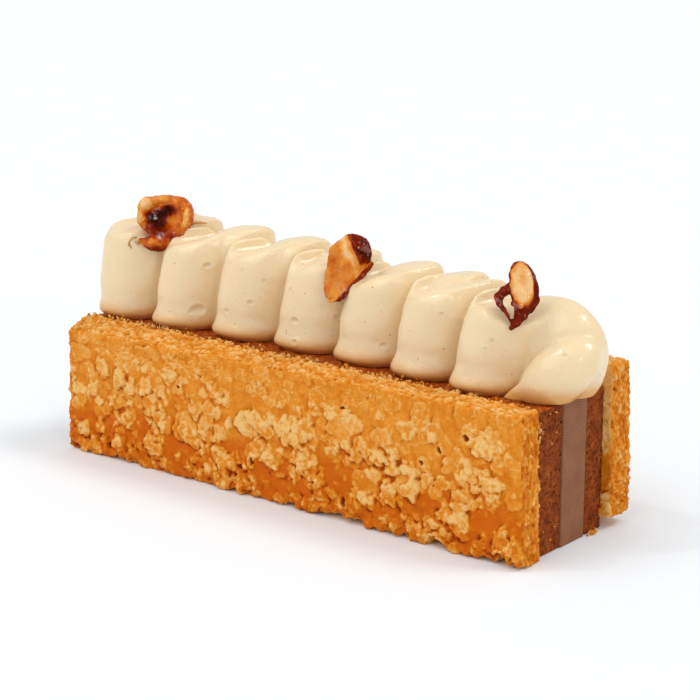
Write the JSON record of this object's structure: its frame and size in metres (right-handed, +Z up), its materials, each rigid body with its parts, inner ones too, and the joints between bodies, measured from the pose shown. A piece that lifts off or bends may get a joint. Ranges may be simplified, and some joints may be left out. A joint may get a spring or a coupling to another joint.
{
  "type": "mille feuille slice",
  "caption": "Bar of caramelised puff pastry, biscuit and ganache layers stood on edge, topped with a piped wave of nut cream and caramelised hazelnuts.",
  "frame": {"origin": "on the flat base of the ganache, at the middle of the bar's length and width", "axes": "+X along the bar to its right end, +Y across the layers to the back, +Z up"},
  "size_m": [0.1289, 0.037, 0.0569],
  "materials": {
    "pastry": "flaky puff pastry with a caramelised sheen",
    "biscuit": "porous brown crumb",
    "ganache": "smooth cut ganache",
    "cream": "satin whipped cream",
    "caramelised_nut": "glossy caramel over roasted nut"
  },
  "bodies": {
    "root": {"pastry_front": "pastry", "biscuit_front": "biscuit", "ganache": "ganache", "biscuit_back": "biscuit", "pastry_back": "pastry", "cream": "cream", "nut_left": "caramelised_nut", "nut_middle": "caramelised_nut", "nut_right": "caramelised_nut"}
  },
  "joints": []
}
